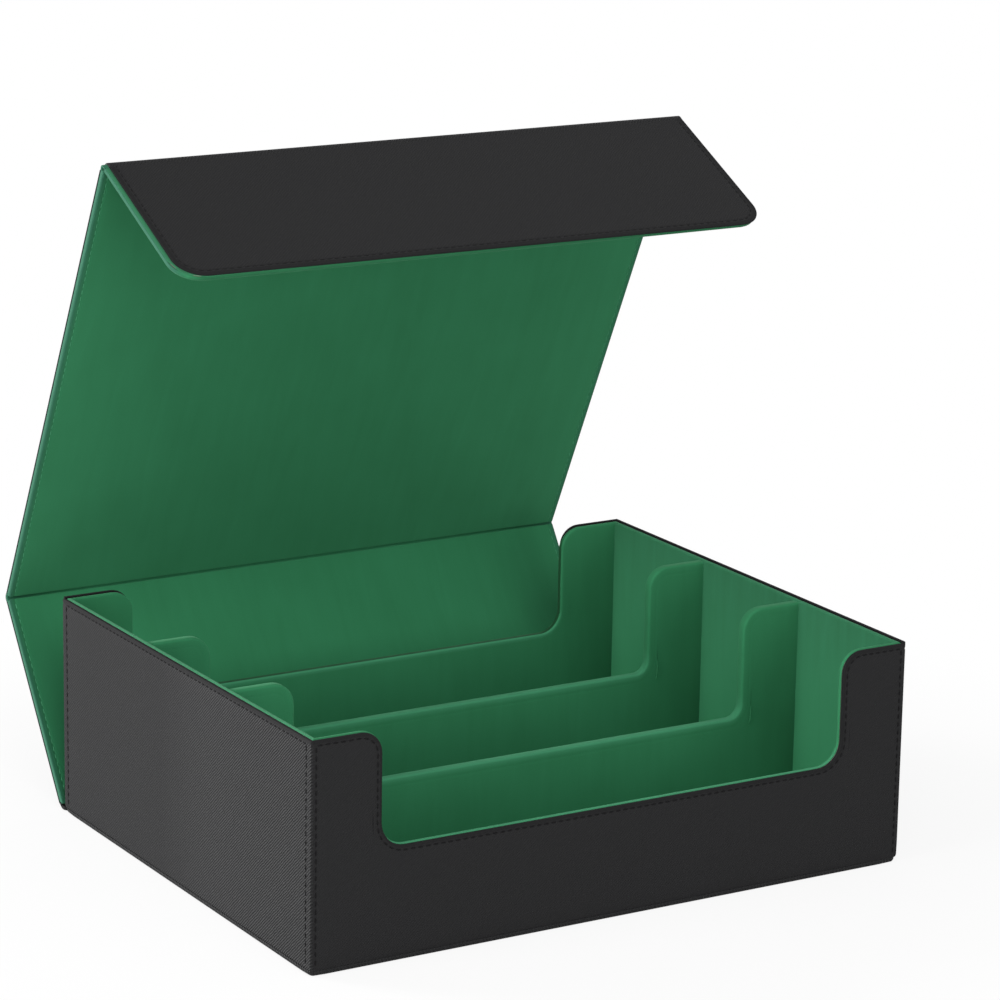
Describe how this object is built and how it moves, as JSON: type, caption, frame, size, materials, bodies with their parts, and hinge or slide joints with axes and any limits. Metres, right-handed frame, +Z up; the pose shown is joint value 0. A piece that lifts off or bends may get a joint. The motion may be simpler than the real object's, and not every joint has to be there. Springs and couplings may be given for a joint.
{
  "type": "trading card storage box",
  "caption": "Leather-covered card box: a lined tray of rows with scooped walls, a folding wrap-round cover with a front flap, and lift-out tabbed dividers.",
  "frame": {"origin": "middle of the underside of the base, on the table", "axes": "+Z up, +X to the right along the front, +Y towards the cover's crease at the rear"},
  "size_m": [0.32, 0.3217, 0.3313],
  "materials": {
    "leather": "black synthetic leather with a fine crossed grain",
    "lining": "green microfibre with a short nap",
    "board": "grey board, hidden under leather and lining",
    "magnet": "nickel-plated disc magnet, hidden",
    "divider_light_green": "matt plastic sheet",
    "divider_red": "matt plastic sheet",
    "divider_blue": "matt plastic sheet",
    "divider_white": "matt plastic sheet",
    "divider_black": "matt plastic sheet",
    "divider_dark_green": "matt plastic sheet",
    "divider_pink": "matt plastic sheet",
    "divider_purple": "matt plastic sheet",
    "divider_orange": "matt plastic sheet",
    "divider_yellow": "matt plastic sheet"
  },
  "bodies": {
    "tray": {"base_leather": "leather", "base_board": "board", "floor_board": "board", "left_wall_board": "board", "right_wall_board": "board", "front_wall_board": "board", "rear_wall_board": "board", "front_partition_board": "board", "rear_partition_board": "board", "left_leather": "leather", "right_leather": "leather", "front_leather": "leather", "rear_leather": "leather", "left_lining": "lining", "right_lining": "lining", "front_lining": "lining", "rear_lining": "lining", "front_floor_lining": "lining", "middle_floor_lining": "lining", "rear_floor_lining": "lining", "front_partition_lining": "lining", "rear_partition_lining": "lining", "wall_magnets": "magnet", "base_crease": "leather"},
    "back": {"back_board": "board", "back_leather": "leather", "back_lining": "lining", "lid_crease": "leather"},
    "lid": {"lid_board": "board", "lid_leather": "leather", "lid_lining": "lining", "flap_crease": "leather"},
    "flap": {"flap_board": "board", "flap_leather": "leather", "flap_lining": "lining", "flap_magnets": "magnet"},
    "divider_light_green": {"divider_light_green": "divider_light_green"},
    "divider_red": {"divider_red": "divider_red"},
    "divider_blue": {"divider_blue": "divider_blue"},
    "divider_white": {"divider_white": "divider_white"},
    "divider_black": {"divider_black": "divider_black"},
    "divider_dark_green": {"divider_dark_green": "divider_dark_green"},
    "divider_pink": {"divider_pink": "divider_pink"},
    "divider_purple": {"divider_purple": "divider_purple"},
    "divider_orange": {"divider_orange": "divider_orange"},
    "divider_yellow": {"divider_yellow": "divider_yellow"}
  },
  "joints": [
    {"name": "back_fold", "type": "hinge", "parent": "tray", "child": "back", "pos_m": [0, 0.1305, 0.0018], "axis": [-1, 0, 0], "range_deg": [-34.2, 55.8]},
    {"name": "lid_fold", "type": "hinge", "parent": "back", "child": "lid", "pos_m": [0, 0.19278, 0.09344], "axis": [-1, 0, 0], "range_deg": [-29.9, 60.1]},
    {"name": "flap_fold", "type": "hinge", "parent": "lid", "child": "flap", "pos_m": [0, 0.07799, 0.32984], "axis": [-1, 0, 0], "range_deg": [0, 91]},
    {"name": "lift_light_green", "type": "slide", "parent": "tray", "child": "divider_light_green", "axis": [0, 0, 1], "range_m": [0, 0.11]},
    {"name": "lift_red", "type": "slide", "parent": "tray", "child": "divider_red", "axis": [0, 0, 1], "range_m": [0, 0.11]},
    {"name": "lift_blue", "type": "slide", "parent": "tray", "child": "divider_blue", "axis": [0, 0, 1], "range_m": [0, 0.11]},
    {"name": "lift_white", "type": "slide", "parent": "tray", "child": "divider_white", "axis": [0, 0, 1], "range_m": [0, 0.11]},
    {"name": "lift_black", "type": "slide", "parent": "tray", "child": "divider_black", "axis": [0, 0, 1], "range_m": [0, 0.11]},
    {"name": "lift_dark_green", "type": "slide", "parent": "tray", "child": "divider_dark_green", "axis": [0, 0, 1], "range_m": [0, 0.11]},
    {"name": "lift_pink", "type": "slide", "parent": "tray", "child": "divider_pink", "axis": [0, 0, 1], "range_m": [0, 0.11]},
    {"name": "lift_purple", "type": "slide", "parent": "tray", "child": "divider_purple", "axis": [0, 0, 1], "range_m": [0, 0.11]},
    {"name": "lift_orange", "type": "slide", "parent": "tray", "child": "divider_orange", "axis": [0, 0, 1], "range_m": [0, 0.11]},
    {"name": "lift_yellow", "type": "slide", "parent": "tray", "child": "divider_yellow", "axis": [0, 0, 1], "range_m": [0, 0.11]}
  ]
}
